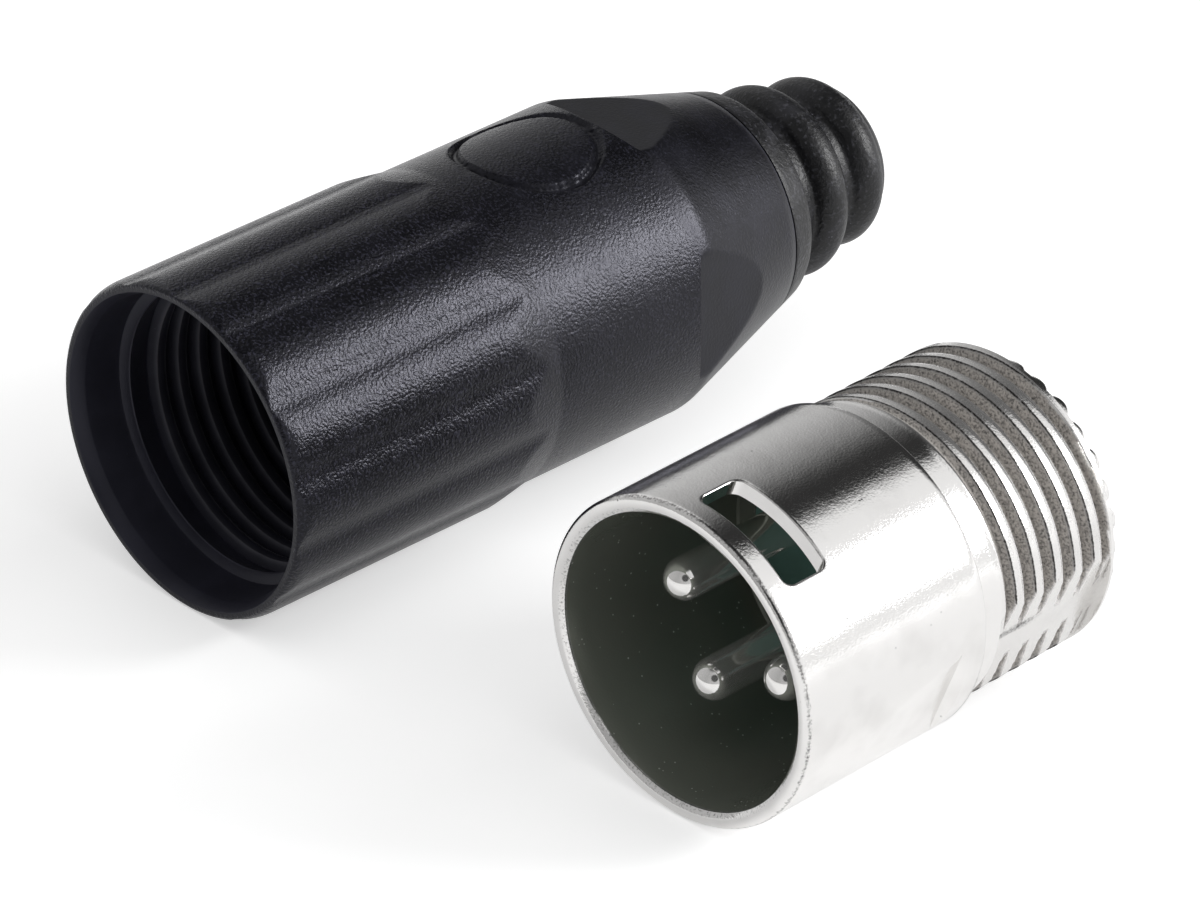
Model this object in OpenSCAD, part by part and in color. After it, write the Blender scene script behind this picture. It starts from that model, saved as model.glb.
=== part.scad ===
// A three-pin audio cable plug, taken apart into its metal front half and its
// black rear housing. Each half lies on its side, its mouth towards -Y.
// Within a half, Z runs along its axis from the mouth to the rear.

/* [Front shell] */
// Bore of the shroud that the mating socket enters
shroud_bore = 16.2; // [15.6:0.1:17]
// Wall of the shroud
shroud_wall = 0.95; // [0.85:0.05:1.4]
// Depth of the shroud from its rim to the insert
shroud_depth = 12.8; // [11:0.2:15]
// Metal left between the foot of the shroud and the shoulder
shoulder_web = 0.6; // [0.5:0.1:1.2]
// Chamfer on the edge of the shoulder
shoulder_chamfer = 0.4; // [0.2:0.05:0.6]
// Rounding of the rim of the shroud
rim_round = 0.35; // [0.15:0.05:0.45]
// Smooth neck between the shoulder and the thread
neck_len = 1.25; // [0.6:0.05:3]
// Corner radius of the latch window
window_round = 0.55; // [0.3:0.05:0.9]
// Length of the latch window along the axis
window_len = 2.83; // [2.2:0.05:4]
// Width of the latch window round the barrel
window_width = 6.68; // [5:0.1:8]
// Distance from the rim to the latch window
window_inset = 1.45; // [1:0.05:3]
// Depth of the two ramps beside the barrel
ramp_depth = 0.5; // [0.3:0.05:0.6]
// Length of the two ramps
ramp_len = 6.9; // [4:0.1:8]
// Distance from the deep end of the ramps to the shoulder
ramp_inset = 2.05; // [1:0.05:4]

/* [Thread] */
// Diameter over the crests of the thread
thread_d = 16.9; // [16.7:0.05:17.4]
// Depth of the thread
thread_depth = 0.6; // [0.4:0.05:0.7]
// Pitch of the thread
thread_pitch = 1.47; // [1.2:0.01:2]
// Grooves of the outer thread
thread_turns = 6; // [4:1:8]
// Grooves of the inner thread in the housing
nut_turns = 5; // [3:1:7]
// Clearance all round between the two threads
thread_clear = 0.1; // [0.05:0.01:0.2]

/* [Crown] */
// Teeth on the rear edge of the front shell
crown_teeth = 30; // [20:1:36]
// Height of the teeth
crown_height = 0.75; // [0.4:0.05:1]
// Wall of the shell under the thread
thread_wall = 0.5; // [0.45:0.05:0.7]

/* [Insert and contacts] */
// Clearance between the insert and the shell
insert_clear = 0.05; // [0.02:0.01:0.12]
// Width of the ledge that the insert seats on
ledge_width = 0.45; // [0.3:0.05:0.8]
// Length of that ledge along the axis
ledge_len = 1; // [0.6:0.1:2]
// Setback of the insert's rear face from the rear edge of the shell
insert_setback = 0.8; // [0.2:0.1:2]
// Diameter of the contact pins
pin_d = 2.3; // [2.1:0.05:2.5]
// Half the distance between pins 1 and 2
pin_spread = 3.81; // [3.4:0.01:4]
// Height of pins 1 and 2 above the axis, towards the window
pin_rise = 0.5; // [0:0.1:1]
// Distance of pin 3 below the axis
pin_drop = 3.4; // [2.8:0.1:4]
// Setback of the pin tips from the rim
pin_setback = 2.9; // [1:0.1:4]
// Clearance of a pin in its hole
pin_clear = 0.03; // [0.02:0.01:0.08]
// Step from a pin to the thicker root that sits in the insert
pin_step = 0.35; // [0.3:0.05:0.5]
// Length of the solder cups
cup_len = 4.2; // [3:0.1:6]
// Width of the ground tag
tag_width = 2.4; // [1.6:0.1:3]
// Thickness of the ground tag
tag_thick = 0.4; // [0.3:0.05:0.6]
// Length of the ground tag that sits in the insert
tag_hold = 3; // [2:0.1:5]
// Length of the ground tag behind the crown
tag_tip = 2.2; // [1:0.1:4]

/* [Rear housing] */
// Wall of the housing round the inner thread
housing_wall = 0.63; // [0.5:0.01:1]
// Height of the grip's lobes over the barrel
grip_rise = 0.39; // [0.2:0.01:0.8]
// Radius of each lobe
lobe_r = 4.17; // [3.6:0.01:6]
// Height of the valleys between them over the barrel
valley_rise = 0.15; // [0.05:0.01:0.18]
// Lobes round the grip
lobe_count = 14; // [10:2:16]
// Length of the full grip
grip_len = 16.2; // [12:0.1:18]
// Length of the ramp behind the grip
grip_fade = 2.6; // [1.5:0.1:4]
// Chamfer on the outer edge of the mouth
rim_bevel = 0.35; // [0.15:0.05:0.5]
// Soft corner between the barrel and the tail
shoulder_soft = 2.4; // [1:0.1:4]
// Distance from the mouth to the housing's shoulder
housing_shoulder = 30.4; // [29:0.1:34]
// Slope of the tail, radius lost per length
tail_slope = 0.2916; // [0.24:0.01:0.32]
// Length of the tail that belongs to the housing
tail_len = 8.2; // [7:0.1:9]
// Radius that the lead-in chamfer adds to the mouth
mouth_flare = 0.33; // [0.2:0.01:0.4]
// Length of the lead-in chamfer
mouth_chamfer = 0.8; // [0.4:0.1:1.4]
// Radial clearance round the thread crests in the mouth
mouth_clear = 0.15; // [0.12:0.01:0.2]
// Depth of the smooth mouth before the inner thread
mouth_depth = 3.3; // [2.8:0.1:4]
// Depth of the four flats at the housing's shoulder
flat_depth = 0.7; // [0.4:0.05:0.8]
// Tilt of the flats
flat_tilt = 5.9; // [4:0.1:8]
// Distance from the shoulder to the front edge of the flats
flat_lead = 1.4; // [0.8:0.1:2]
// Radius of the flats' front edge
flat_round = 10.3; // [8:0.1:12]
// Outer diameter of the round groove on top
pad_d = 8.2; // [6:0.1:9]
// Width of that groove
pad_groove = 0.5; // [0.3:0.05:0.7]
// Depth of that groove
pad_depth = 0.3; // [0.15:0.05:0.4]
// Distance from the pad's centre to the shoulder
pad_inset = 5.7; // [5:0.1:7]

/* [Cable clamp] */
// Cable opening
cable_bore = 6.6; // [5:0.1:7]
// Distance from the mouth to the seat of the clamp
seat_depth = 25.5; // [24:0.1:26]
// Width of that seat
seat_width = 0.6; // [0.4:0.05:0.9]
// Clearance between the clamp and the housing
clamp_clear = 0.2; // [0.1:0.05:0.3]
// Length of the clamp's ring
clamp_ring = 3.5; // [2:0.1:5]
// Width of the clamp's slits
slit_width = 0.9; // [0.5:0.1:1.5]
// Number of the clamp's jaws
clamp_jaws = 4; // [3:1:6]

/* [Boot] */
// Length of the boot's collar
collar_len = 1.7; // [1:0.1:3]
// Diameter of the boot's first ring
ring_d = 11.24; // [10.6:0.02:12]
// Diameter of the boot's second ring
tip_ring_d = 9.9; // [9.4:0.1:10.4]
// Depth of the hollow between the collar and the first ring
hollow_step = 0.65; // [0.4:0.05:1]
// Radius of the rings' round section
ring_round = 1.2; // [1:0.05:1.3]
// Distance from the collar to the crest of the first ring
ring_gap = 2.95; // [2.6:0.05:3.4]
// Distance between the crests of the rings
ring_pitch = 3.4; // [3:0.05:4]
// Distance from the second ring's crest to the end of the boot
tip_len = 1.85; // [1.6:0.05:2.2]
// Diameter of the boot between its rings
boot_core = 8.4; // [8:0.1:9]
// Clearance between the boot's sleeve and the housing
sleeve_clear = 0.05; // [0.02:0.01:0.1]
// Length of the boot's sleeve inside the housing
sleeve_len = 2.8; // [1.5:0.1:3]

/* [Layout] */
// Turn of the latch window from straight up
window_roll = 21.6; // [0:0.1:40]
// Sideways distance between the two mouths
half_gap = 32.45; // [24:0.05:50]
// Distance that the housing's mouth lies ahead of the shell's
housing_ahead = 3.95; // [-10:0.05:20]
// Turn of the housing, seen from above
housing_turn = 1.7; // [0:0.1:6]

/* [Hidden] */

round_fn = 96;
small_fn = 40;
cut = 0.05;

bore_r = shroud_bore / 2;
shell_r = bore_r + shroud_wall;
crest_r = thread_d / 2;
root_r = crest_r - thread_depth;
barrel_len = shroud_depth + shoulder_web;
thread_from = barrel_len + neck_len;
shell_len = thread_from + thread_turns * thread_pitch;
crown_tip = shell_len + crown_height;
inner_r = root_r - thread_wall;
flank = thread_depth * 0.42;
groove_floor = (thread_pitch - 2 * flank) * 0.36;

ledge_r = inner_r - ledge_width;
seat_at = shroud_depth + ledge_len;
insert_r = inner_r - insert_clear;
insert_end = shell_len - insert_setback;
pin_r = pin_d / 2;
pin_root_r = pin_r + pin_step;
pin_root_at = shroud_depth - 0.2;
pin_flange_r = pin_root_r + 0.15;
pin_flange_len = 0.8;
cup_wall = 0.45;
pin_flange_at = insert_end - pin_flange_len;
pin_places = [[-pin_spread, pin_rise], [pin_spread, pin_rise], [0, -pin_drop]];
tag_from = insert_end - tag_hold;
tag_inset = 0.6;
tag_top = insert_r - tag_inset;
tag_end = crown_tip + tag_tip;

nut_crest_r = root_r + thread_clear;
nut_root_r = crest_r + thread_clear;
housing_r = nut_root_r + housing_wall;
grip_r = housing_r + grip_rise;
valley_r = housing_r + valley_rise;
lobe_centre = grip_r - lobe_r;
grip_end = grip_len + grip_fade;
housing_len = housing_shoulder + tail_len;
mouth_bore_r = crest_r + mouth_clear;
mouth_lip_r = mouth_bore_r + mouth_flare;
cable_r = cable_bore / 2;
sleeve_wall = 1.35;
sleeve_hole_r = cable_r + sleeve_wall + sleeve_clear;
sleeve_from = housing_len - sleeve_len;
seat_inner_r = nut_crest_r - seat_width;
clamp_end = sleeve_from - 1;
boot_end = housing_len + collar_len + ring_gap + ring_pitch + tip_len;
nose_step = 0.55;
nose_r = tip_ring_d / 2 - nose_step;

lobe_step = 360 / lobe_count;
housing_height = lobe_centre * cos(lobe_step / 2) + lobe_r;
span_x = [-half_gap - grip_r * cos(housing_turn), shell_r];
span_y = [-housing_ahead - (grip_r - rim_bevel) * sin(housing_turn),
  (boot_end - ring_round) * cos(housing_turn) + ring_round - housing_ahead
  + (nose_r - ring_round) * sin(housing_turn)];
shell_x = -(span_x[0] + span_x[1]) / 2;
shell_y = -(span_y[0] + span_y[1]) / 2;

// Radius of the housing's tail at a distance from the mouth
function tail_r(z) = housing_r - tail_slope * (z - housing_shoulder);

// Points along an arc about c, in the plane of a profile
function arc(c, r, from, to, steps = 8) =
  [for (i = [0:steps]) let (a = from + (to - from) * i / steps)
    [c[0] + r * cos(a), c[1] + r * sin(a)]];

// A ring of material turned about the axis, from a profile of [radius, z]
module turned(profile, sides = round_fn) {
  rotate_extrude($fn = sides) polygon(profile);
}

// A bore from one depth to another, with a little overrun where it is open
module bore(r, from, to, r2 = 0) {
  translate([0, 0, from])
    cylinder(h = to - from, r1 = r, r2 = r2 > 0 ? r2 : r, $fn = round_fn);
}

// Stands the half on its side with its top towards the local -Y
module lay_shell() {
  translate([shell_x, shell_y, shell_r])
    rotate([-90, 0, 0])
      rotate([0, 0, window_roll]) children();
}

module lay_housing() {
  translate([shell_x - half_gap, shell_y - housing_ahead, housing_height])
    rotate([0, 0, -housing_turn])
      rotate([-90, 0, 0]) children();
}

// One groove of a thread as a ring, cut from outside or from inside
module groove_ring(z, open_r, floor_r) {
  out = open_r + sign(open_r - floor_r) * cut;
  reach = groove_floor / 2 + flank;
  turned([
    [floor_r, z - groove_floor / 2], [open_r, z - reach], [out, z - reach],
    [out, z + reach], [open_r, z + reach], [floor_r, z + groove_floor / 2]]);
}

module shell_body() {
  neck_r = crest_r - cut;
  lead = 0.3;
  turned(concat(
    [[bore_r, lead], [bore_r + lead, 0]],
    arc([shell_r - rim_round, rim_round], rim_round, -90, 0),
    [[shell_r, barrel_len - shoulder_chamfer],
     [shell_r - shoulder_chamfer, barrel_len],
     [neck_r, barrel_len], [neck_r, thread_from],
     [crest_r, thread_from + 0.05], [crest_r, shell_len],
     [inner_r, shell_len], [inner_r, seat_at],
     [ledge_r, seat_at], [ledge_r, shroud_depth],
     [bore_r, shroud_depth]]));
}

// A crown of rounded teeth round the rear edge, each a short radial cylinder
module crown() {
  pitch_angle = 360 / crown_teeth;
  tooth_share = 0.94;
  tooth_r = inner_r * sin(pitch_angle / 2) * tooth_share;
  for (k = [0:crown_teeth - 1])
    rotate([0, 0, (k + 0.5) * pitch_angle])
      translate([inner_r + cut, 0, crown_tip - tooth_r])
        rotate([0, 90, 0])
          cylinder(h = root_r - inner_r + 2 * cut, r = tooth_r, $fn = 24);
}

// The rectangle with round corners that the latch window is cut by
module window_outline() {
  w = window_width / 2 - window_round;
  l = window_len / 2 - window_round;
  square([window_width, 2 * l], center = true);
  square([2 * w, window_len], center = true);
  for (x = [-w, w], y = [-l, l])
    translate([x, y]) circle(r = window_round, $fn = small_fn);
}

module window_cut() {
  translate([0, -shell_r - 1, window_inset + window_len / 2])
    rotate([-90, 0, 0])
      linear_extrude(height = shroud_wall + 3) window_outline();
}

// A sloping flat beside the barrel with a short wall at its deep end
module ramp_cut() {
  deep = barrel_len - ramp_inset;
  wall = 0.4;
  rotate([90, 0, 0])
    linear_extrude(height = shell_r, center = true)
      polygon([[shell_r, deep - ramp_len], [shell_r - ramp_depth, deep],
        [shell_r, deep + wall], [shell_r + 1, deep + wall],
        [shell_r + 1, deep - ramp_len]]);
}

// The plain stretch across the thread, a little below its grooves
module thread_flat() {
  flat_r = root_r - cut;
  from = thread_from + groove_floor;
  translate([flat_r, -crest_r, from])
    cube([crest_r, 2 * crest_r, shell_len - from + cut]);
}

module front_shell() {
  color("silver")
  lay_shell() {
    difference() {
      shell_body();
      for (k = [0:thread_turns - 1])
        groove_ring(thread_from + (k + 0.5) * thread_pitch, crest_r, root_r);
      window_cut();
      for (side = [0, 180]) rotate([0, 0, side]) {
        ramp_cut();
        thread_flat();
      }
    }
    crown();
  }
}

// Where the pins go through the insert, in its own plane
module at_pin(i) {
  translate([pin_places[i][0], -pin_places[i][1], 0]) children();
}

// The slot in the insert, or the tag itself, opposite the window
module tag_bar(w, from, to, extra = 0) {
  translate([-w / 2, tag_top - tag_thick, from])
    cube([w, tag_thick + extra, to - from]);
}

module insert() {
  color("darkslategray")
  lay_shell()
    difference() {
      turned([[0, shroud_depth], [ledge_r - insert_clear, shroud_depth],
        [ledge_r - insert_clear, seat_at], [insert_r, seat_at],
        [insert_r, insert_end], [0, insert_end]]);
      for (i = [0:2]) at_pin(i) {
        bore(pin_root_r + pin_clear, shroud_depth - cut, insert_end + cut);
        bore(pin_flange_r + pin_clear, pin_flange_at, insert_end + cut);
      }
      tag_bar(tag_width + 2 * pin_clear, tag_from, insert_end + cut, 1);
    }
}

// A turned pin with a domed tip, a flange in the insert and a solder cup
module pin(i) {
  cup_r = pin_flange_r;
  cup_end = insert_end + cup_len;
  well_r = cup_r - cup_wall;
  color("gainsboro")
  lay_shell() at_pin(i)
    difference() {
      turned(concat([[0, pin_setback]],
        arc([0, pin_setback + pin_r], pin_r, -80, 0),
        [[pin_r, pin_root_at], [pin_root_r, pin_root_at],
         [pin_root_r, pin_flange_at], [pin_flange_r, pin_flange_at],
         [cup_r, cup_end], [0, cup_end]]), small_fn);
      translate([0, 0, cup_end - cup_len * 0.75])
        cylinder(h = cup_len, r = well_r, $fn = small_fn);
      translate([-cup_r - cut, -cup_r - cut, cup_end - cup_len * 0.55])
        cube([2 * cup_r + 2 * cut, cup_r, cup_len]);
    }
}

module ground_tag() {
  bend = crown_tip + tag_thick;
  color("darkgray")
  lay_shell()
    difference() {
      tag_bar(tag_width, tag_from, tag_end);
      for (side = [-1, 1])
        translate([side * tag_width / 2, tag_top - tag_thick - cut, bend])
          rotate([0, -side * atan(tag_width / 2 / (tag_end - bend)), 0])
            translate([side > 0 ? 0 : -tag_width, 0, 0])
              cube([tag_width, tag_thick + 2 * cut, 2 * tag_tip]);
    }
}

// The grip's section: convex lobes standing out of a round core
module grip_section() {
  circle(r = valley_r, $fn = round_fn);
  for (k = [0:lobe_count - 1])
    rotate((k + 0.5) * lobe_step + 90)
      translate([lobe_centre, 0]) circle(r = lobe_r, $fn = round_fn);
}

module grip() {
  intersection() {
    linear_extrude(height = grip_end) grip_section();
    turned([[0, 0], [grip_r - rim_bevel, 0], [grip_r, rim_bevel], [grip_r, grip_len],
      [housing_r, grip_end], [0, grip_end]]);
  }
}

// The barrel and the tail, with a soft corner between them
module housing_outside() {
  bend = atan(tail_slope);
  corner = shoulder_soft * tan(bend / 2);
  turned(concat([[0, rim_bevel], [housing_r, rim_bevel]],
    arc([housing_r - shoulder_soft, housing_shoulder - corner], shoulder_soft, 0, bend, 5),
    [[tail_r(housing_len), housing_len], [0, housing_len]]));
}

// One of the four flats that are milled across the shoulder
module shoulder_flat() {
  front = housing_shoulder - flat_lead;
  translate([0, 0, front])
    rotate([0, -flat_tilt, 0])
      translate([housing_r - flat_depth, 0, flat_round])
        rotate([0, 90, 0])
          cylinder(h = flat_round / 2, r = flat_round, $fn = round_fn);
}

// The round groove on top, of even depth over the barrel
module pad_cut() {
  floor_r = housing_r - pad_depth;
  translate([0, 0, housing_shoulder - pad_inset])
    intersection() {
      rotate([90, 0, 0]) difference() {
        cylinder(h = housing_r + 1, d = pad_d, $fn = round_fn);
        translate([0, 0, -cut])
          cylinder(h = housing_r + 2, d = pad_d - 2 * pad_groove, $fn = round_fn);
      }
      turned([[floor_r, -pad_d], [housing_r + 1, -pad_d],
        [housing_r + 1, pad_d], [floor_r, pad_d]]);
    }
}

module housing_inside() {
  bore(mouth_lip_r, -cut, mouth_chamfer, mouth_bore_r);
  bore(mouth_bore_r, mouth_chamfer - cut, mouth_depth);
  bore(nut_crest_r, mouth_depth - cut, seat_depth);
  for (k = [0:nut_turns - 1])
    groove_ring(mouth_depth + (k + 0.5) * thread_pitch, nut_crest_r, nut_root_r);
  bore(seat_inner_r, seat_depth - cut, sleeve_from, sleeve_hole_r);
  bore(sleeve_hole_r, sleeve_from - cut, housing_len + cut);
}

module rear_housing() {
  color("dimgray")
  lay_housing()
    difference() {
      union() {
        grip();
        housing_outside();
      }
      for (k = [0:3]) rotate([0, 0, k * 90]) shoulder_flat();
      pad_cut();
      housing_inside();
    }
}

// The clamp seats on the ledge in the housing and closes on the cable
module cable_clamp() {
  ring_r = nut_crest_r - clamp_clear;
  top_r = seat_inner_r - clamp_clear;
  slope = (seat_inner_r - sleeve_hole_r) / (sleeve_from - seat_depth);
  tip_r = top_r - slope * (clamp_end - seat_depth);
  back_r = cable_r + 0.4;
  jaw_r = cable_r - 0.3;
  color("slategray")
  lay_housing()
    difference() {
      turned([[back_r, seat_depth - clamp_ring],
        [ring_r, seat_depth - clamp_ring], [ring_r, seat_depth],
        [top_r, seat_depth], [tip_r, clamp_end], [jaw_r, clamp_end],
        [jaw_r, seat_depth]]);
      for (k = [0:clamp_jaws - 1])
        rotate([0, 0, (k + 0.5) * 360 / clamp_jaws])
          translate([0, -slit_width / 2, seat_depth])
            cube([ring_r, slit_width, clamp_end]);
    }
}

// A round ring about the boot whose crest has the given radius
module boot_ring(z, r) {
  translate([0, 0, z])
    rotate_extrude($fn = round_fn)
      translate([r - ring_round, 0]) circle(r = ring_round, $fn = small_fn);
}

module boot() {
  collar_end = housing_len + collar_len;
  first = collar_end + ring_gap;
  second = first + ring_pitch;
  core_r = boot_core / 2;
  hollow_r = ring_d / 2 - hollow_step;
  color("dimgray")
  lay_housing()
    difference() {
      union() {
        bore(tail_r(housing_len), housing_len, collar_end, tail_r(collar_end));
        bore(hollow_r, collar_end - cut, first, core_r);
        bore(core_r, first - cut, boot_end - ring_round);
        boot_ring(first, ring_d / 2);
        boot_ring(second, tip_ring_d / 2);
        boot_ring(boot_end - ring_round, nose_r);
        bore(nose_r - ring_round, second, boot_end);
        bore(sleeve_hole_r - sleeve_clear, housing_len - sleeve_len + cut,
          housing_len + cut);
      }
      bore(cable_r, sleeve_from - 1, boot_end + 1);
    }
}

front_shell();
insert();
pin(0);  // pin_1
pin(1);  // pin_2
pin(2);  // pin_3
ground_tag();
rear_housing();
cable_clamp();
boot();
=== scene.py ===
import math
import bpy
import numpy as np
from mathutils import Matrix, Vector


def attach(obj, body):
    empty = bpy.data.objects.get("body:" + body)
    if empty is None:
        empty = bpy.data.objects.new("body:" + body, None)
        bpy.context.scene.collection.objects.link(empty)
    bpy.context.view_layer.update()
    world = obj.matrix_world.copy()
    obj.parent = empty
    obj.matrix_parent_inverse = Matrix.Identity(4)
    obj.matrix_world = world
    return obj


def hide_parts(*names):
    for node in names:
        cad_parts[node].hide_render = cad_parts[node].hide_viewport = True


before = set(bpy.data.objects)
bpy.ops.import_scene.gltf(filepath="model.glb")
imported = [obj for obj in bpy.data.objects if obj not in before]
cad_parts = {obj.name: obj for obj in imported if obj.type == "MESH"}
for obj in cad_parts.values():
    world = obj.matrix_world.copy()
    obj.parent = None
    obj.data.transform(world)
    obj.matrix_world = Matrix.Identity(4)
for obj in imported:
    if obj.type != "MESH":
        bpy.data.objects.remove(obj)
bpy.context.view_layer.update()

mm = 0.001

# The two halves as they lie, in mm and degrees: the middle of the mouth, the
# roll about the axis and the turn seen from above
shellPlace = dict(x=16.483, y=-20.195, z=9.05, roll=21.6, turn=0.0)
housingPlace = dict(x=-15.967, y=-24.145, z=9.435, roll=0.0, turn=1.7)


# Camera: the photograph's viewing angle through a long lens, from its place
# beside, before and above the shell's mouth, in mm
cameraSetup = dict(lens=231.2, turn=44.9, tilt=30.55, right=3.83, ahead=326.52, above=205.18)


def makeCamera(setup):
    turn = math.radians(setup["turn"])
    toRight = Vector((math.cos(turn), math.sin(turn), 0))
    ahead = Vector((-math.sin(turn), math.cos(turn), 0))
    mouth = Vector((shellPlace["x"], shellPlace["y"], shellPlace["z"]))
    spot = mouth - toRight * setup["right"] - ahead * setup["ahead"] + Vector((0, 0, setup["above"]))
    data = bpy.data.cameras.new("camera")
    data.lens = setup["lens"]
    data.sensor_width = 36
    data.clip_start, data.clip_end = 0.01, 10
    camera = bpy.data.objects.new("camera", data)
    bpy.context.collection.objects.link(camera)
    camera.location = spot * mm
    camera.rotation_euler = (math.radians(90 - setup["tilt"]), 0, turn)
    bpy.context.scene.camera = camera


makeCamera(cameraSetup)
print("camera made")


# Shader maths as expressions: an operator on a Num adds one Math node
class Num:
    def __init__(self, shader, socket):
        self.shader, self.socket = shader, socket

    def math(self, operation, *others):
        values = {i: v for i, v in enumerate((self,) + others)}
        return Num(self.shader, self.shader.node("Math", dict(operation=operation), values).outputs[0])

    def __add__(self, other): return self.math("ADD", other)
    def __radd__(self, other): return self.math("ADD", other)
    def __sub__(self, other): return self.math("SUBTRACT", other)
    def __rsub__(self, other): return (self * -1.0).math("ADD", other)
    def __mul__(self, other): return self.math("MULTIPLY", other)
    def __rmul__(self, other): return self.math("MULTIPLY", other)
    def over(self, edge): return self.math("GREATER_THAN", edge)
    def larger(self, other): return self.math("MAXIMUM", other)
    def clip(self): return self.math("MAXIMUM", 0.0).math("MINIMUM", 1.0)
    def ramp(self, low, high): return ((self - low) * (1.0 / (high - low))).clip()


def colour(r, g, b):
    return (r, g, b, 1.0)


# a ramp's stops, from positions and tones of grey
def setStops(marks, stops):
    for mark, (place, tone) in zip([marks[0], marks[1]], (stops[0], stops[-1])):
        mark.position, mark.color = place, colour(tone, tone, tone)
    for place, tone in stops[1:-1]:
        marks.new(place).color = colour(tone, tone, tone)


# One node tree: node() is the only place where nodes are added
class Shader:
    def __init__(self, tree, surface, place):
        self.tree, self.surface = tree, tree.nodes[surface]
        self.place = self.node("TexCoord", {}, {}).outputs[place]

    def node(self, kind, settings, values):
        node = self.tree.nodes.new("ShaderNode" + kind)
        for key, value in settings.items():
            if key == "stops":
                setStops(node.color_ramp.elements, value)
            else:
                setattr(node, key, value)
        for key, value in values.items():
            self.feed(node.inputs[key], value)
        return node

    def feed(self, socket, value):
        if isinstance(value, Num):
            value = value.socket
        if isinstance(value, bpy.types.NodeSocket):
            self.tree.links.new(value, socket)
        else:
            socket.default_value = value

    def put(self, **values):
        for key, value in values.items():
            self.feed(self.surface.inputs[key.replace("_", " ")], value)

    # noise about 0.5 whose features are about size mm across
    def noise(self, size, detail=2.0):
        values = {"Vector": self.place, "Scale": 1.0 / (size * mm), "Detail": detail}
        return Num(self, self.node("TexNoise", {}, values).outputs[0])

    # specks about size mm apart, 1 in the middle of each and 0 at a share of
    # size away, in some of the patches only
    def specks(self, size, share, patch):
        values = {"Vector": self.place, "Scale": 1.0 / (size * mm), "Randomness": 1.0}
        near = Num(self, self.node("TexVoronoi", dict(feature="F1"), values).outputs["Distance"])
        return (1.0 - near * (1.0 / share)).clip() * self.noise(patch, 1.0).ramp(0.5, 0.6)

    def mask(self, name):
        return Num(self, self.node("Attribute", dict(attribute_name=name), {}).outputs["Fac"])

    def blend(self, factor, first, second):
        return self.node("Mix", dict(data_type="RGBA"), {0: factor, 6: first, 7: second}).outputs[2]

    # a height in mm carried to the surface normal
    def emboss(self, height):
        self.put(Normal=self.node("Bump", {}, {"Strength": 1.0, "Distance": mm, "Height": height}).outputs[0])


def newMaterial(name):
    material = bpy.data.materials.new(name)
    material.use_nodes = True
    return material, Shader(material.node_tree, "Principled BSDF", "Object")


# Finishes
nickelLook = dict(
    plate=colour(0.81, 0.80, 0.79), tarnish=colour(0.42, 0.405, 0.39), sand=colour(0.47, 0.44, 0.41),
    darkMarksAndShade=colour(0.02, 0.018, 0.017), inside=colour(0.22, 0.235, 0.20),
    rough=0.115, grainSize=0.13, grainHeight=0.0090, waveHeight=0.0099, grooveHeight=0.03, metal=1.0,
)
contactLook = dict(
    plate=colour(0.88, 0.87, 0.855), tarnish=colour(0.52, 0.50, 0.47), sand=colour(0.40, 0.375, 0.34),
    darkMarksAndShade=colour(0.035, 0.033, 0.03), inside=colour(0.3, 0.3, 0.29),
    rough=0.07, grainSize=0.12, grainHeight=0.0008, waveHeight=0.00088, grooveHeight=0.03, metal=0.85,
)
# worn is the lighter tone of grain crests, haze and dust specks, and of the painted light on the inside
# surfaces; edge is painted on the inner thread's crest edges
housingLook = dict(
    body=colour(0.0030, 0.0030, 0.0040), worn=colour(0.030, 0.030, 0.044), edge=colour(0.12, 0.12, 0.135),
    rough=0.21, grainSize=0.16, grainHeight=0.050,
)
rubberLook = dict(body=colour(0.004, 0.004, 0.005), dust=colour(0.16, 0.16, 0.19), rough=0.42)


# Satin plate over a casting: fine grain, a few specks and duller patches.
# Grooves are matte and sandy with dark grain. Dark lines are painted shade and dark
# reflection along edges, corners, thread crests and the crown's gaps, beside rough
# parting marks. The inside is painted a dull olive grey, a painted reflection of the green insert.
def makeNickel(name, look):
    material, s = newMaterial(name)
    groove, line, inside = s.mask("groove"), s.mask("line"), s.mask("inside")
    grain = s.noise(look["grainSize"], 3.0)
    patch = s.noise(3.2, 4.0).ramp(0.48, 0.75) * (1.0 - inside)
    pits = s.specks(0.9, 0.09, 3.0)
    dust = s.specks(0.42, 0.13, 1.5) * inside * 0.6
    paint = s.blend(patch * 0.22, look["plate"], look["tarnish"])
    sand = s.blend(grain.ramp(0.28, 0.60), look["darkMarksAndShade"], look["sand"])
    paint = s.blend(groove * 0.92, paint, sand)
    # the inside is painted a dull olive grey, a painted reflection of the green insert
    paint = s.blend(inside, paint, look["inside"])
    # painted shade and dark reflection along edges, thread crests and the crown's gaps, with the parting
    # marks, broken up by the grain
    shadeAndPartingLine = (line * 1.6 + (grain - 0.62) * 2.4).clip() * line.over(0.04)
    paint = s.blend(shadeAndPartingLine, paint, look["darkMarksAndShade"])
    paint = s.blend(pits * (1.0 - inside) * 0.8, paint, look["darkMarksAndShade"])
    s.put(Base_Color=s.blend(dust * 0.8, paint, look["plate"]))
    dull = patch * 0.06 + groove * 0.27 + inside * 0.12 + dust
    s.put(Roughness=(look["rough"] + (grain - 0.5) * 0.10 + dull).clip())
    s.put(Metallic=(look["metal"] - dust - groove * 0.85 - inside * 0.5).clip())
    waves = s.noise(0.9) * look["waveHeight"] * (1.0 - inside)
    s.emboss(grain * (look["grainHeight"] + groove * look["grooveHeight"]) + waves - pits * 0.01)
    return material
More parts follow.
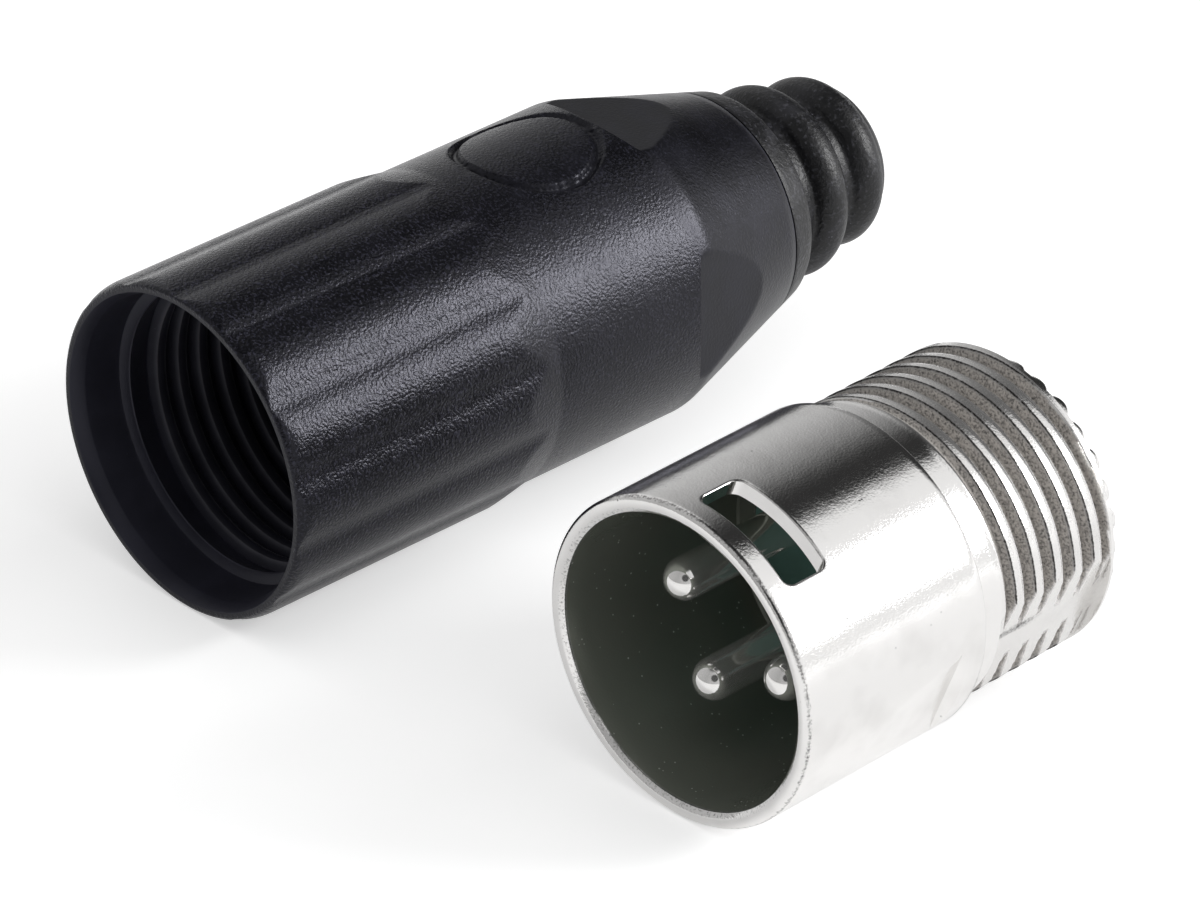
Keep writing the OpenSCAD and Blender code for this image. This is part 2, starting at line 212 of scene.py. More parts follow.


# Moulded plastic, with a spark-eroded grain where the surface is grained: its
# crests are lighter and plain surfaces are hazier and duller. The inside surfaces
# are painted lighter, painted light in the dim mouth, and the inner thread's crest
# edges are painted lighter.
def makeHousingPlastic(name, look):
    material, s = newMaterial(name)
    grained, edge = s.mask("grained"), s.mask("edge")
    fine = s.noise(look["grainSize"])
    broad = s.noise(2.4, 3.0)
    crest = fine.ramp(0.52, 0.68) * grained
    dust = s.specks(0.8, 0.08, 2.5)
    plain = 1.0 - grained
    # the inside surfaces take the lighter tone strongly: painted light in the dim mouth
    haze = broad.ramp(0.42, 0.75) * (0.1 + plain * 0.12) + plain.ramp(0.88, 1.0) * 0.5
    paint = s.blend((crest * 0.6 + haze + dust * 3.0).clip(), look["body"], look["worn"])
    # the inner thread's crest edges are painted lighter
    s.put(Base_Color=s.blend(edge * (broad * 0.8 + 0.1), paint, look["edge"]))
    uneven = (broad - 0.5) * 0.16 + (fine - 0.5) * 0.2 * grained
    s.put(Roughness=(look["rough"] + plain * 0.18 + uneven).clip())
    s.put(IOR=1.46, Specular_IOR_Level=0.36, Specular_Tint=colour(0.86, 0.86, 1.0))
    s.emboss(fine * (0.004 + grained * look["grainHeight"]) + broad * 0.006)
    return material


# Dull rubber with a dusty haze and specks
def makeRubber(name, look):
    material, s = newMaterial(name)
    broad = s.noise(1.6, 3.0)
    fine = s.noise(0.22, 2.0)
    dust = s.specks(0.45, 0.14, 1.8)
    haze = broad.ramp(0.50, 0.72) * 0.08 + fine.ramp(0.56, 0.74) * 0.22
    s.put(Base_Color=s.blend((dust + haze).clip(), look["body"], look["dust"]))
    s.put(Roughness=(look["rough"] + (broad - 0.5) * 0.30 + dust * 0.3).clip(), IOR=1.44)
    s.emboss(fine * 0.04 + broad * 0.02)
    return material


# Plain moulded plastic, a little uneven in tone and sheen
def makeMoulding(name, body, rough):
    material, s = newMaterial(name)
    broad = s.noise(1.5, 3.0)
    s.put(Base_Color=s.blend(broad, body, tuple(c * 1.35 for c in body[:3]) + (1.0,)))
    s.put(Roughness=rough + (broad - 0.5) * 0.15)
    s.emboss(s.noise(0.2, 2.0) * 0.004)
    return material


finish = dict(
    nickel=makeNickel("nickel_plate", nickelLook),
    contact=makeNickel("contact_plate", contactLook),
    insert=makeMoulding("insert_green", colour(0.085, 0.17, 0.145), 0.38),
    housing=makeHousingPlastic("housing_plastic", housingLook),
    clamp=makeMoulding("clamp_plastic", colour(0.014, 0.014, 0.015), 0.5),
    rubber=makeRubber("boot_rubber", rubberLook),
)
print("finishes made")


# A point beside, ahead of and above the mouth's middle, placed where the half
# lies: rolled about its axis, then turned as seen from above
def layAt(beside, ahead, above, place):
    roll, turn = math.radians(place["roll"]), math.radians(place["turn"])
    side = beside * math.cos(roll) + above * math.sin(roll)
    up = above * math.cos(roll) - beside * math.sin(roll)
    x = side * math.cos(turn) + ahead * math.sin(turn) + place["x"]
    y = ahead * math.cos(turn) - side * math.sin(turn) + place["y"]
    return np.stack(np.broadcast_arrays(x, y, up + place["z"]), axis=-1) * mm


# The same for radius r, distance s along the axis and angle a from the top
def lay(r, s, a, place):
    return layAt(r * np.sin(np.radians(a)), s, r * np.cos(np.radians(a)), place)


# A closed surface from a grid of points whose columns run round an axis. The
# rows run round the wall's section and join up with their start, or the first
# and the last row are one point each.
def gridMesh(name, points, masks=None, poles=False):
    rows, columns = points.shape[:2]
    if poles:
        flat = np.concatenate([points[0, :1], points[1:-1].reshape(-1, 3), points[-1, :1]])
        index = 1 + np.arange((rows - 2) * columns).reshape(rows - 2, columns)
        here, below = index[:-1], index[1:]
        first, last = index[0], index[-1]
        tip = np.stack([0 * first, np.roll(first, -1), first], axis=-1)
        foot = np.stack([last, np.roll(last, -1), 0 * last + len(flat) - 1], axis=-1)
        corners = np.concatenate([tip, foot])
    else:
        flat = points.reshape(-1, 3)
        here = np.arange(rows * columns).reshape(rows, columns)
        below = np.roll(here, -1, axis=0)
        corners = np.zeros((0, 3), int)
    around = [here, np.roll(here, -1, axis=1), np.roll(below, -1, axis=1), below]
    quads = np.stack(around, axis=-1).reshape(-1, 4)
    middle = flat - flat.mean(0)
    halves = np.concatenate([quads[:, :3], quads[:, [0, 2, 3]], corners])
    a, b, c = (middle[halves[:, i]] for i in range(3))
    if np.einsum("ij,ij->i", a, np.cross(b, c)).sum() < 0:
        quads, corners = quads[:, ::-1], corners[:, ::-1]
    loops = np.concatenate([quads.ravel(), corners.ravel()])
    starts = np.concatenate([np.arange(len(quads)) * 4, len(quads) * 4 + np.arange(len(corners)) * 3])
    mesh = bpy.data.meshes.new(name)
    mesh.vertices.add(len(flat))
    mesh.vertices.foreach_set("co", flat.astype(np.float32).ravel())
    mesh.loops.add(len(loops))
    mesh.loops.foreach_set("vertex_index", loops.astype(np.int32))
    mesh.polygons.add(len(starts))
    mesh.polygons.foreach_set("loop_start", starts.astype(np.int32))
    mesh.update(calc_edges=True)
    for key, value in (masks or {}).items():
        layer = mesh.attributes.new(key, "FLOAT", "POINT")
        layer.data.foreach_set("value", np.broadcast_to(value, (rows, columns)).astype(np.float32).ravel())
    mesh.validate()
    return mesh


# smooth shading but for edges sharper than angle
def shadeSmooth(mesh, angle):
    mesh.polygons.foreach_set("use_smooth", np.ones(len(mesh.polygons), bool))
    mesh.set_sharp_from_angle(angle=math.radians(angle))


def addPiece(name, mesh, material, nodes, angle=38):
    piece = bpy.data.objects.new(name, mesh)
    bpy.context.collection.objects.link(piece)
    mesh.materials.append(material)
    shadeSmooth(mesh, angle)
    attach(piece, "root")
    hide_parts(*nodes)
    return piece


def smooth(x, low, high):
    t = np.clip((x - low) / (high - low), 0, 1)
    return t * t * (3 - 2 * t)


# even steps from one end to the other, about gap apart, the last end left out
def steps(start, end, gap):
    return np.linspace(start, end, max(2, int(round(abs(end - start) / gap)) + 1))[:-1]


# points of a round edge from one angle to another, as radius and distance
def roundEdge(r, s, radius, start, end, count=6):
    a = np.radians(np.linspace(start, end, count))
    return list(zip(r + radius * np.cos(a), s + radius * np.sin(a)))


# angles round the axis, closer together where detail needs it
def angles(base, dense):
    extra = [np.arange(low, high, gap) for low, high, gap in dense]
    plain = np.arange(-180, 180, base)
    for low, high, gap in dense:
        plain = plain[(plain < low - base * 0.4) | (plain > high - gap + base * 0.4)]
    return np.unique(np.round(np.concatenate([plain] + extra), 4))


# Distance along the axis from the middle of the nearest groove: the grooves
# are a pitch apart and climb by one pitch a turn
def fromGroove(s, a, screw):
    off = s - screw["first"] - screw["pitch"] * ((a - screw["start"]) % 360) / 360
    return (off + screw["pitch"] / 2) % screw["pitch"] - screw["pitch"] / 2


# Depth of a screw thread from 0 to 1 at a distance off the middle of a
# groove: a flat floor between sloping flanks, and a crest worn round behind
def threadDepth(off, screw):
    foot = screw["floor"] / 2 + screw["flank"]
    worn = np.clip((off + foot + screw["wear"]) / screw["wear"], 0, 1) ** 2 * 0.14 * (off < 0)
    return np.maximum(np.clip((foot - np.abs(off)) / screw["flank"], 0, 1), worn)


# How far a screw's rows move along the axis to follow its grooves: they climb
# with the thread from one angle round to the same angle again, and drop back
# in a narrow band before it
def threadShift(a, screw):
    on, rest = (a - screw["start"]) % 360, 360 - screw["band"]
    return screw["pitch"] * np.where(on < rest, on, rest * (360 - on) / screw["band"]) / 360


# Row places of one turn from the middle of a groove: floor, flank, rounded
# edge and crest. Each has the share of the painted shadow line on the crest's front edge.
def threadRows(screw):
    half, flank, pitch = screw["floor"] / 2, screw["flank"], screw["pitch"]
    foot = half + flank
    rear = [(half * 0.7, 0), (half, 0.15), (half + flank * 0.16, 0), (half + flank * 0.6, 0),
            (foot - flank * 0.25, 0.1), (foot, 0.95), (foot + 0.03, 0.5), (foot + 0.08, 0)]
    front = [(foot + 0.24, 0), (foot + 0.15, 0), (foot + 0.07, 0), (foot + 0.02, 0), (foot - flank * 0.12, 0),
             (half + flank * 0.6, 0), (half + flank * 0.16, 0), (half, 0), (half * 0.7, 0)]
    return [(0, 0)] + rear + [(pitch / 2, 0)] + [(pitch - v, line) for v, line in front]


# Front shell. Sizes in mm; the barrel's own top is the middle of its window
shell = dict(
    bore=8.1, outer=9.05, depth=12.8, shoulder=13.4, chamfer=0.4, rim=0.35, neck=8.4,
    crest=8.45, root=7.85, end=23.47, plain=23.14, inner=7.35, ledge=6.9, seat=13.8,
    crestFrom=(14.6, 15.2), threadFrom=(14.9, 16.0),
    windowFrom=1.45, windowLength=2.83, windowWidth=6.68, windowRound=0.55, windowEase=0.16, windowGap=0.06,
    rampFrom=4.45, rampTo=11.35, rampWall=0.4, rampDepth=0.5, flat=7.8, flatFrom=15.0,
    cutFrom=6.0, cutTo=10.0,
    # the crown, with the least and most of a tooth's height
    teeth=30, toothHeight=0.74, toothShare=0.95, toothOuter=8.02, toothTurn=-0.4,
    uneven=(0.86, 1.06), crownDark=0.8,
    # parting marks: angle, width in degrees, where they fade out and how dark they are
    partingAt=82.5, partingWidth=2.2, partingTo=(17.6, 19.2), partingDark=0.6,
)
shellScrew = dict(pitch=1.47, floor=0.35, flank=0.25, wear=0.3, first=14.95, turns=6, start=-82, band=16)


# degrees from the nearer of the two sides of the barrel
def besideShell(a):
    return np.minimum(np.abs((a - 90 + 180) % 360 - 180), np.abs((a + 90 + 180) % 360 - 180))


# The barrel's radius: a cylinder, cut by a sloping plane on each side, whose
# wall is eased round the window
def barrelRadius(s, a, base):
    slant = np.cos(np.radians(np.minimum(besideShell(a), 60)))
    fall = np.clip((s - shell["rampFrom"]) / (shell["rampTo"] - shell["rampFrom"]), 0, 1)
    rise = np.clip((s - shell["rampTo"]) / shell["rampWall"], 0, 1)
    depth = shell["rampDepth"] * np.where(s > shell["rampTo"], 1 - rise, fall)
    r = np.minimum(base, np.where(depth > 0, (shell["outer"] - depth) / slant, base))
    half = shell["windowLength"] / 2
    across = np.abs(shell["outer"] * np.radians(a)) - shell["windowWidth"] / 2 - shell["windowGap"]
    along = np.abs(s - shell["windowFrom"] - half) - half
    corner = shell["windowRound"]
    gap = np.hypot(np.maximum(across + corner, 0), np.maximum(along + corner, 0)) - corner
    near = np.clip(1 - gap / shell["windowEase"], 0, 1)
    return r - shell["windowEase"] * (1 - np.sqrt(1 - near ** 2 * 0.98))


# the height of the crown of rounded teeth, half an ellipse over each
def crownRise(a):
    turn = (a + shellPlace["roll"] + shell["toothTurn"]) * shell["teeth"] / 360
    across = (turn % 1 - 0.5) * 2 / shell["toothShare"]
    uneven = np.random.default_rng(4).uniform(*shell["uneven"], shell["teeth"])
    tooth = np.floor(turn).astype(int) % shell["teeth"]
    return np.sqrt(np.clip(1 - across ** 2, 0, 1)) * shell["toothHeight"] * uneven[tooth]


# The shell as one surface of the place along the wall's section and the angle
# round the axis. The section runs from the mouth over the barrel, shoulder,
# neck, thread and crown and back through the bore. Barrel rows take
# barrelRadius, thread rows follow the helix, sunk by threadDepth and cut off by
# a plane on each side, and the crown's rows are lifted by shares of crownRise.
def makeShell():
    a = angles(1.25, [(-24, -19.5, 0.35), (19.5, 24, 0.35), (-98, -82, 0.8)])
    w0, w1 = shell["windowFrom"], shell["windowFrom"] + shell["windowLength"]
    ramp0, ramp1 = shell["rampTo"] - 0.15, shell["rampTo"] + shell["rampWall"] + 0.15
    c, foot, top = shell["chamfer"], shell["shoulder"], shell["end"]
    boreR, outerR, neckR, crestR = (shell[key] for key in ("bore", "outer", "neck", "crest"))
    innerR, ledgeR, toothR = (shell[key] for key in ("inner", "ledge", "toothOuter"))
    # each row: radius, distance, share of the crown's height, share of the painted dark line, kind
    # the dark line at the bore's mouth is a painted dark reflection
    rows = [(boreR, 0.34, 0, 0, "in"), (boreR + 0.04, 0.2, 0, 0.2, "in"),
            (boreR + 0.28, 0.03, 0, 0.12, "in"), (boreR + 0.36, 0, 0, 0, "in")]
    # shares of a painted dark reflection round the rim's rounded edge
    worn = [0, 0, 0, 0.05, 0.3, 0.42, 0.25, 0]
    edge = roundEdge(outerR - shell["rim"], shell["rim"], shell["rim"], -90, 0, len(worn))
    rows += [(r, s, 0, line, "in") for (r, s), line in zip(edge, worn)]
    along = np.concatenate([
        steps(0.45, w0 - 0.3, 0.3), steps(w0 - 0.3, w0 + 0.6, 0.07), steps(w0 + 0.6, w1 - 0.6, 0.3),
        steps(w1 - 0.6, w1 + 0.3, 0.07), steps(w1 + 0.3, ramp0, 0.4), steps(ramp0, ramp1, 0.07),
        steps(ramp1, foot - c, 0.4)])
    rows += [(outerR, s, 0, 0, "barrel") for s in along]
    # the dark line at the shoulder's chamfer and corner is painted shade
    rows += [(outerR, foot - c, 0, 0, "in"), (outerR - 0.04, foot - c + 0.06, 0, 0.2, "dull"),
             (outerR - c, foot - 0.02, 0, 0.3, "dull"), (outerR - c - 0.05, foot, 0, 0.5, "in"),
             (neckR + 0.06, foot, 0, 0.8, "in"), (neckR, foot + 0.06, 0, 0.8, "in"),
             (neckR, foot + 0.16, 0, 0, "in")]
    places = [(shellScrew["first"] + shellScrew["pitch"] * k + v, line)
              for k in range(-1, shellScrew["turns"] + 1) for v, line in threadRows(shellScrew)]
    places = [(s, line) for s, line in places if s > shellScrew["first"] - 0.6]
    rows += [(neckR, s, 0, 0, "neck") for s in np.linspace(0, 1, 12)[1:-1]]
    rows += [(crestR, s, 0, line, "thread") for s, line in places]
    # the dark line at the crown's end and foot is painted shade
    rows += [(crestR, shell["plain"] + 0.06, 0, 0, "in"), (crestR, top - 0.08, 0, 0, "in"),
             (crestR - 0.08, top, 0, 0.2, "in"), (toothR + 0.03, top, 0, 0.9, "in"),
             (toothR, top, 0.5, 0.1, "in"), (toothR - 0.05, top, 0.86, 0, "in"),
             (toothR - 0.14, top, 1, 0, "in"), (innerR + 0.16, top, 1, 0, "in"),
             (innerR + 0.05, top, 0.86, 0, "in"), (innerR, top, 0.5, 0, "in"),
             (innerR, top - 0.1, 0, 0.4, "in")]
    rows += [(innerR, s, 0, 0, "in") for s in (18, shell["seat"])]
    rows += [(ledgeR, shell["seat"], 0, 0, "in"), (ledgeR, shell["depth"] + 0.05, 0, 0, "in"),
             (ledgeR + 0.05, shell["depth"], 0, 0, "in"), (boreR - 0.12, shell["depth"], 0, 0, "in"),
             (boreR, shell["depth"] - 0.12, 0, 0, "in")]
    rows += [(boreR, s, 0, 0, "in") for s in steps(shell["depth"] - 1, 0.6, 1.0)]
    kinds = np.array([row[4] for row in rows])
    r, s, rise, line = (np.array([row[i] for row in rows], float)[:, None] + 0 * a for i in range(4))
    a = a[None, :]
    inside = (r < boreR + 0.02) * (s > 0.25) * (s < shell["depth"] + 0.2)
    s = s + rise * crownRise(a)
    barrel, neck, thread = (np.nonzero(kinds == key)[0] for key in ("barrel", "neck", "thread"))
    r[barrel] = barrelRadius(s[barrel], a, r[barrel])
    moved = s[thread] + threadShift(a, shellScrew)
    off = fromGroove(moved, a, shellScrew)
    order = np.arange(len(thread))[:, None]
    s[thread] = np.minimum(moved, shell["plain"] + 0.0003 * order)
    ended = smooth(s[thread], shell["plain"] - 0.2, shell["plain"])
    begun = smooth(s[thread], *shell["threadFrom"]) * (1 - ended)
    depth = threadDepth(off, shellScrew) * begun
    full = crestR - (crestR - shell["root"]) * depth
    full = full - (crestR - neckR) * (1 - smooth(s[thread], *shell["crestFrom"]))
    plane = shell["flat"] / np.cos(np.radians(np.minimum(besideShell(a), 60)))
    cut = smooth(s[thread], shell["flatFrom"] - 0.2, shell["flatFrom"] + 0.2)
    r[thread] = full - np.maximum(full - plane, 0) * cut
    groove = 0.5 * (kinds == "dull")[:, None] + 0 * r
    groove[thread] = np.maximum((depth > 0.15) * smooth(plane - full, -0.05, 0.15), 0.14 * cut)
    line[thread] = line[thread] * smooth(begun, 0.1, 0.6) * smooth(plane - full, -0.02, 0.1)
    # rough parting marks along the flat that faces the camera
    marked = smooth(s, *shell["crestFrom"]) * (1 - smooth(s, *shell["partingTo"]))
    marked = marked * (s > foot) * (r > shell["root"] - 0.2)
    parting = np.exp(-((a - shell["partingAt"]) / shell["partingWidth"]) ** 2) * marked
    line = np.maximum(line, shell["partingDark"] * parting)
    # painted shade in the gaps between the crown's teeth
    gap = (rise > 0.4) * (1 - smooth(crownRise(a), 0.15, 0.6))
    line = np.maximum(line, shell["crownDark"] * gap)
    start = foot + 0.16
    s[neck] = start + (s[thread[0]] - start) * s[neck]
    return gridMesh("front_shell", lay(r, s, a, shellPlace), dict(groove=groove, line=line, inside=inside))


# The latch window is cut with a block that has the window's outline: a
# rectangle with quarter circles at its corners
def cutWindow(piece):
    w, l, c = shell["windowWidth"] / 2, shell["windowLength"] / 2, shell["windowRound"]
    turn = (np.arange(48) + 0.5) * 2 * np.pi / 48
    x = np.cos(turn) * c + np.sign(np.cos(turn)) * (w - c)
    s = np.sin(turn) * c + np.sign(np.sin(turn)) * (l - c) + shell["windowFrom"] + l
    heights = shell["cutFrom"] + 0 * x, shell["cutTo"] + 0 * x
    ring = np.concatenate([layAt(x, s, height, shellPlace) for height in heights])
    n = len(turn)
    sides = [(i, (i + 1) % n, n + (i + 1) % n, n + i) for i in range(n)]
    mesh = bpy.data.meshes.new("windowBlock")
    mesh.from_pydata(ring.tolist(), [], sides + [tuple(range(n))[::-1], tuple(range(n, 2 * n))])
    block = bpy.data.objects.new("windowBlock", mesh)
    bpy.context.collection.objects.link(block)
    cutter = piece.modifiers.new("window", "BOOLEAN")
    cutter.operation, cutter.solver, cutter.object = "DIFFERENCE", "EXACT", block
    bpy.context.view_layer.update()
    result = bpy.data.meshes.new_from_object(piece.evaluated_get(bpy.context.evaluated_depsgraph_get()))
    piece.modifiers.clear()
    piece.data = result
    bpy.data.objects.remove(block)
    shadeSmooth(result, 38)


shellPiece = addPiece("shell_casting", makeShell(), finish["nickel"], ["front_shell"])
cutWindow(shellPiece)
print("front shell made:", len(shellPiece.data.polygons), "faces")


# Contact pins: turned, with a domed tip, a thicker root in the insert and a
# solder cup that is open towards the top. Places are beside and above the axis.
pins = dict(
    radius=1.15, tip=2.9, rootAt=12.6, root=1.5, flangeAt=21.87, cup=1.65, end=26.87, well=1.2,
    wellFrom=23.72, scoop=24.56, places=[(-3.81, 0.5), (3.81, 0.5), (0.0, -3.4)],
)


# A pin is a profile turned round its axis: a quarter circle for the tip, then
# cylinders, and only the lower half of the cup's wall goes on to the end
def makePin(name, beside, above):
    a = np.unique(np.concatenate([np.arange(-180, 180, 6.0), [-90.3, -89.7, 89.7, 90.3]]))[None, :]
    dome = np.radians(np.linspace(0, 90, 16))
    rows = [(pins["radius"] * math.sin(t), pins["tip"] + pins["radius"] * (1 - math.cos(t)), 0) for t in dome]
    rows += [(pins["radius"], v, 0) for v in np.linspace(5, pins["rootAt"] - 0.01, 5)]
    rows += [(pins["root"] - 0.05, pins["rootAt"], 0), (pins["root"], pins["rootAt"] + 0.05, 0),
             (pins["root"], pins["flangeAt"], 0), (pins["cup"] - 0.03, pins["flangeAt"], 0),
             (pins["cup"], pins["flangeAt"] + 0.03, 0), (pins["cup"], pins["scoop"] - 0.04, 0),
             (pins["cup"] - 0.04, pins["scoop"], 1), (pins["well"] + 0.04, pins["scoop"], 1),
             (pins["well"], pins["scoop"] - 0.04, 0), (pins["well"], pins["wellFrom"] + 0.2, 0),
             (pins["well"] * 0.6, pins["wellFrom"], 0), (0, pins["wellFrom"], 0)]
    r, s, reach = (np.array([row[i] for row in rows])[:, None] + 0 * a for i in range(3))
    s = s + reach * (np.abs(a) > 90) * (pins["end"] - pins["scoop"])
    points = layAt(beside + r * np.sin(np.radians(a)), s, above + r * np.cos(np.radians(a)), shellPlace)
    return gridMesh(name, points, poles=True)


for number, (beside, above) in enumerate(pins["places"], 1):
    name = "pin_%d" % number
    addPiece("contact_" + name, makePin(name, beside, above), finish["contact"], [name], 42)
print("pins made")


# Rear housing. Sizes in mm; its own top is the middle of the round groove
housing = dict(
    lobes=14, lobeRound=4.17, grip=9.57, valley=9.33, gripLength=16.2, fade=2.6, barrel=9.18, shoulder=30.4,
    soft=2.4, slope=0.2916, end=38.6, lip=8.93, leadIn=0.8, mouth=8.6, mouthDepth=3.3, nutCrest=7.95,
    nutRoot=8.5, seat=25.5, seatInner=7.35, sleeve=35.8, hole=4.7, bevel=0.37, bevelLength=1.0,
    flatDepth=0.7, flatTilt=5.9, flatLead=1.4, flatRound=10.3,
    padMiddle=24.7, padRadius=3.85, padWidth=0.5, padDepth=0.3, padWithin=60,
    threadFrom=(3.4, 4.1), threadTo=(11.4, 12.2), flatTo=35.2,
)
housingScrew = dict(pitch=1.47, floor=0.35, flank=0.25, wear=0.2, first=3.95, turns=5, start=55, band=16)


# The grip's radius: convex lobes, each an arc about a point off the axis,
# over a round core, under a limit that falls away behind the grip
def gripRadius(s, a):
    step = 360 / housing["lobes"]
    off = np.radians((a % step) - step / 2)
    centre = housing["grip"] - housing["lobeRound"]
    lobe = centre * np.cos(off) + np.sqrt(housing["lobeRound"] ** 2 - (centre * np.sin(off)) ** 2)
    grip = np.maximum(lobe, housing["valley"])
    fall = np.clip((s - housing["gripLength"]) / housing["fade"], 0, 1)
    limit = housing["grip"] + (housing["barrel"] - housing["grip"]) * fall
    return np.minimum(grip, limit)


# The tail: the barrel, a soft corner and a cone
def tailRadius(s):
    bend = math.atan(housing["slope"])
    soft, corner = housing["soft"], housing["soft"] * math.tan(bend / 2)
    start, stop = housing["shoulder"] - corner, housing["shoulder"] + corner * math.cos(bend)
    into = np.clip(s - start, 0, soft * 0.9)
    rounded = housing["barrel"] - soft + np.sqrt(np.maximum(soft ** 2 - into ** 2, 0))
    cone = housing["barrel"] - housing["slope"] * (s - housing["shoulder"])
    return np.where(s < start, housing["barrel"], np.where(s < stop, rounded, cone))


# degrees from the middle of the nearest of the four flats
def besideFlat(a):
    return (a + 45) % 90 - 45


# where the front edge of the flats runs, an arc that eases back between them
def flatEdge(a):
    off = np.abs(besideFlat(a))
    side = housing["barrel"] * np.sin(np.radians(np.minimum(off, 25)))
    arc = housing["flatRound"] - np.sqrt(housing["flatRound"] ** 2 - side ** 2)
    return housing["shoulder"] - housing["flatLead"] + arc * (1 - smooth(off, 25, 44))


# the radius of a flat, a plane that comes closer to the axis towards the rear
def flatRadius(s, a):
    behind = s - housing["shoulder"] + housing["flatLead"]
    level = housing["barrel"] - housing["flatDepth"] - behind * math.tan(math.radians(housing["flatTilt"]))
    return level / np.cos(np.radians(besideFlat(a)))


# The housing as one surface of the place along the wall's section and the
# angle. Outer rows take the grip's or the tail's radius, eased at the mouth and
# less a round groove at one distance from the pad's middle. The rows behind the
# flats' front edge take the smaller of tail and flat, and the inner thread's
# rows follow the helix, sunk by threadDepth.
def makeHousing():
    a = angles(1.2, [(-28, 28, 0.62)])[None, :]
    lead, bevel, end = housing["shoulder"] - housing["flatLead"], housing["bevel"], housing["end"]
    mouthR, lipR, crestR, holeR = (housing[key] for key in ("mouth", "lip", "nutCrest", "hole"))
    # each row: kind, radius and distance
    rows = [("in", mouthR, housing["leadIn"] + 0.06), ("in", mouthR + 0.03, housing["leadIn"] - 0.05),
            ("in", lipR - 0.02, 0.05), ("in", lipR + 0.02, 0.0)]
    outer = np.concatenate([
        [0.0, 0.01, 0.03, 0.07, 0.13, 0.21, 0.32, 0.45, 0.6, 0.8], steps(1.0, 16, 0.65), steps(16, 19, 0.2),
        steps(19, 20.6, 0.4), steps(20.6, lead - 0.2, 0.12), [lead - 0.1, lead]])
    flats = np.concatenate([
        [lead + 0.001, lead + 0.04], steps(lead + 0.12, housing["flatTo"], 0.16),
        steps(housing["flatTo"], end - 0.12, 0.5)])
    rows += [("out", 0, s) for s in outer] + [("cut", 0, s) for s in flats]
    tail = float(tailRadius(np.array(end)))
    rows += [("in", tail + 0.035, end - 0.12), ("in", tail - 0.09, end), ("in", holeR, end),
             ("in", holeR, housing["sleeve"]), ("in", housing["seatInner"], housing["seat"]),
             ("in", crestR, housing["seat"]), ("in", crestR, 18), ("in", crestR, 13.4)]
    places = [housingScrew["first"] + housingScrew["pitch"] * k + v for k in range(housingScrew["turns"])
              for v, _ in threadRows(housingScrew)]
    rows += [("nut", 0, s) for s in places[::-1]]
    step = housing["mouthDepth"]
    rows += [("in", crestR, step + 0.06), ("in", crestR + 0.05, step), ("in", crestR + 0.35, step - 0.05),
             ("in", mouthR - 0.06, step - 0.2), ("in", mouthR, step - 0.42)]
    kinds = np.array([kind for kind, _, _ in rows])
    r, s = (np.array([row[i] for row in rows], float)[:, None] + 0 * a for i in (1, 2))
    out, cut, nut = (np.nonzero(kinds == key)[0] for key in ("out", "cut", "nut"))
    along = s[out]
    base = np.where(along < housing["gripLength"] + housing["fade"], gripRadius(along, a), tailRadius(along))
    fromEdge = 1 - np.minimum(along / housing["bevelLength"], 1)
    eased = housing["grip"] - bevel + bevel * np.sqrt(1 - fromEdge ** 2) + (fromEdge == 0)
    base = np.minimum(base, eased)
    side = housing["barrel"] * np.sin(np.radians(a))
    fromPad = np.abs(np.hypot(side, along - housing["padMiddle"]) - housing["padRadius"])
    width = housing["padWidth"]
    groove = (1 - smooth(fromPad, width * 0.22, width * 0.62)) * (np.abs(a) < housing["padWithin"])
    r[out] = base - housing["padDepth"] * groove
    s[out] = along + (flatEdge(a) - lead) * np.clip((along - lead + 2.0) / 2.0, 0, 1)
    s[cut] = s[cut] + (flatEdge(a) - lead) * np.clip(1 - (s[cut] - lead) / 2.5, 0, 1)
    base, flat = tailRadius(s[cut]), flatRadius(s[cut], a)
    sunk = (np.arange(len(cut)) > 0)[:, None]
    r[cut] = np.where(sunk, np.minimum(base, flat), base)
    s[nut] = s[nut] + threadShift(a, housingScrew)
    off = fromGroove(s[nut], a, housingScrew)
    begun = smooth(s[nut], *housing["threadFrom"]) * (1 - smooth(s[nut], *housing["threadTo"]))
    depth = threadDepth(off, housingScrew) * begun
    r[nut] = crestR + (housing["nutRoot"] - crestR) * depth
    apart = np.abs(off) - housingScrew["floor"] / 2 - housingScrew["flank"]
    edge, grained = 0 * r, 0 * r
    # where the inner thread's crest edges are painted lighter
    edge[nut] = np.exp(-(apart / 0.07) ** 2)
    grained[out] = (1 - 0.6 * groove) * (1 - 0.3 * smooth(along, 13, 21))
    grained[cut] = np.where(flat < base, 0.15, 0.4)
    return gridMesh("rear_housing", lay(r, s, a, housingPlace), dict(grained=grained, edge=edge))


housingMesh = makeHousing()
addPiece("housing_moulding", housingMesh, finish["housing"], ["rear_housing"], 30)
print("housing made:", len(housingMesh.polygons), "faces")


# Boot: a collar that carries on the tail's cone, then rings about the axis,
# in mm from the housing's mouth
boot = dict(
    bore=3.3, sleeve=4.64, sleeveFrom=35.9, collar=1.7, core=4.2, seam=0.05,
    front=4.95, fall=0.35, fallLength=3.0,
    rings=[dict(at=43.25, crest=5.62, round=1.2), dict(at=46.65, crest=4.95, round=1.2),
           dict(at=47.3, crest=4.4, round=1.2)],
)


# The boot's radius: the largest of a core and of round rings, with the
# hollows between them softened
def bootRadius(s):
    start = housing["end"] + boot["collar"]
    front = boot["front"] - boot["fall"] * (s - start) / boot["fallLength"]
    r = np.where(s < boot["rings"][0]["at"], front, boot["core"])
    sharp = 9.0
    total = np.exp(sharp * r)
    for ring in boot["rings"]:
        off = np.clip(np.abs(s - ring["at"]) / ring["round"], 0, 1)
        bulge = ring["crest"] - ring["round"] + ring["round"] * np.sqrt(1 - off ** 2)
        total = total + np.exp(sharp * np.where(off < 1, bulge, 0))
    return np.log(total) / sharp - 0.03


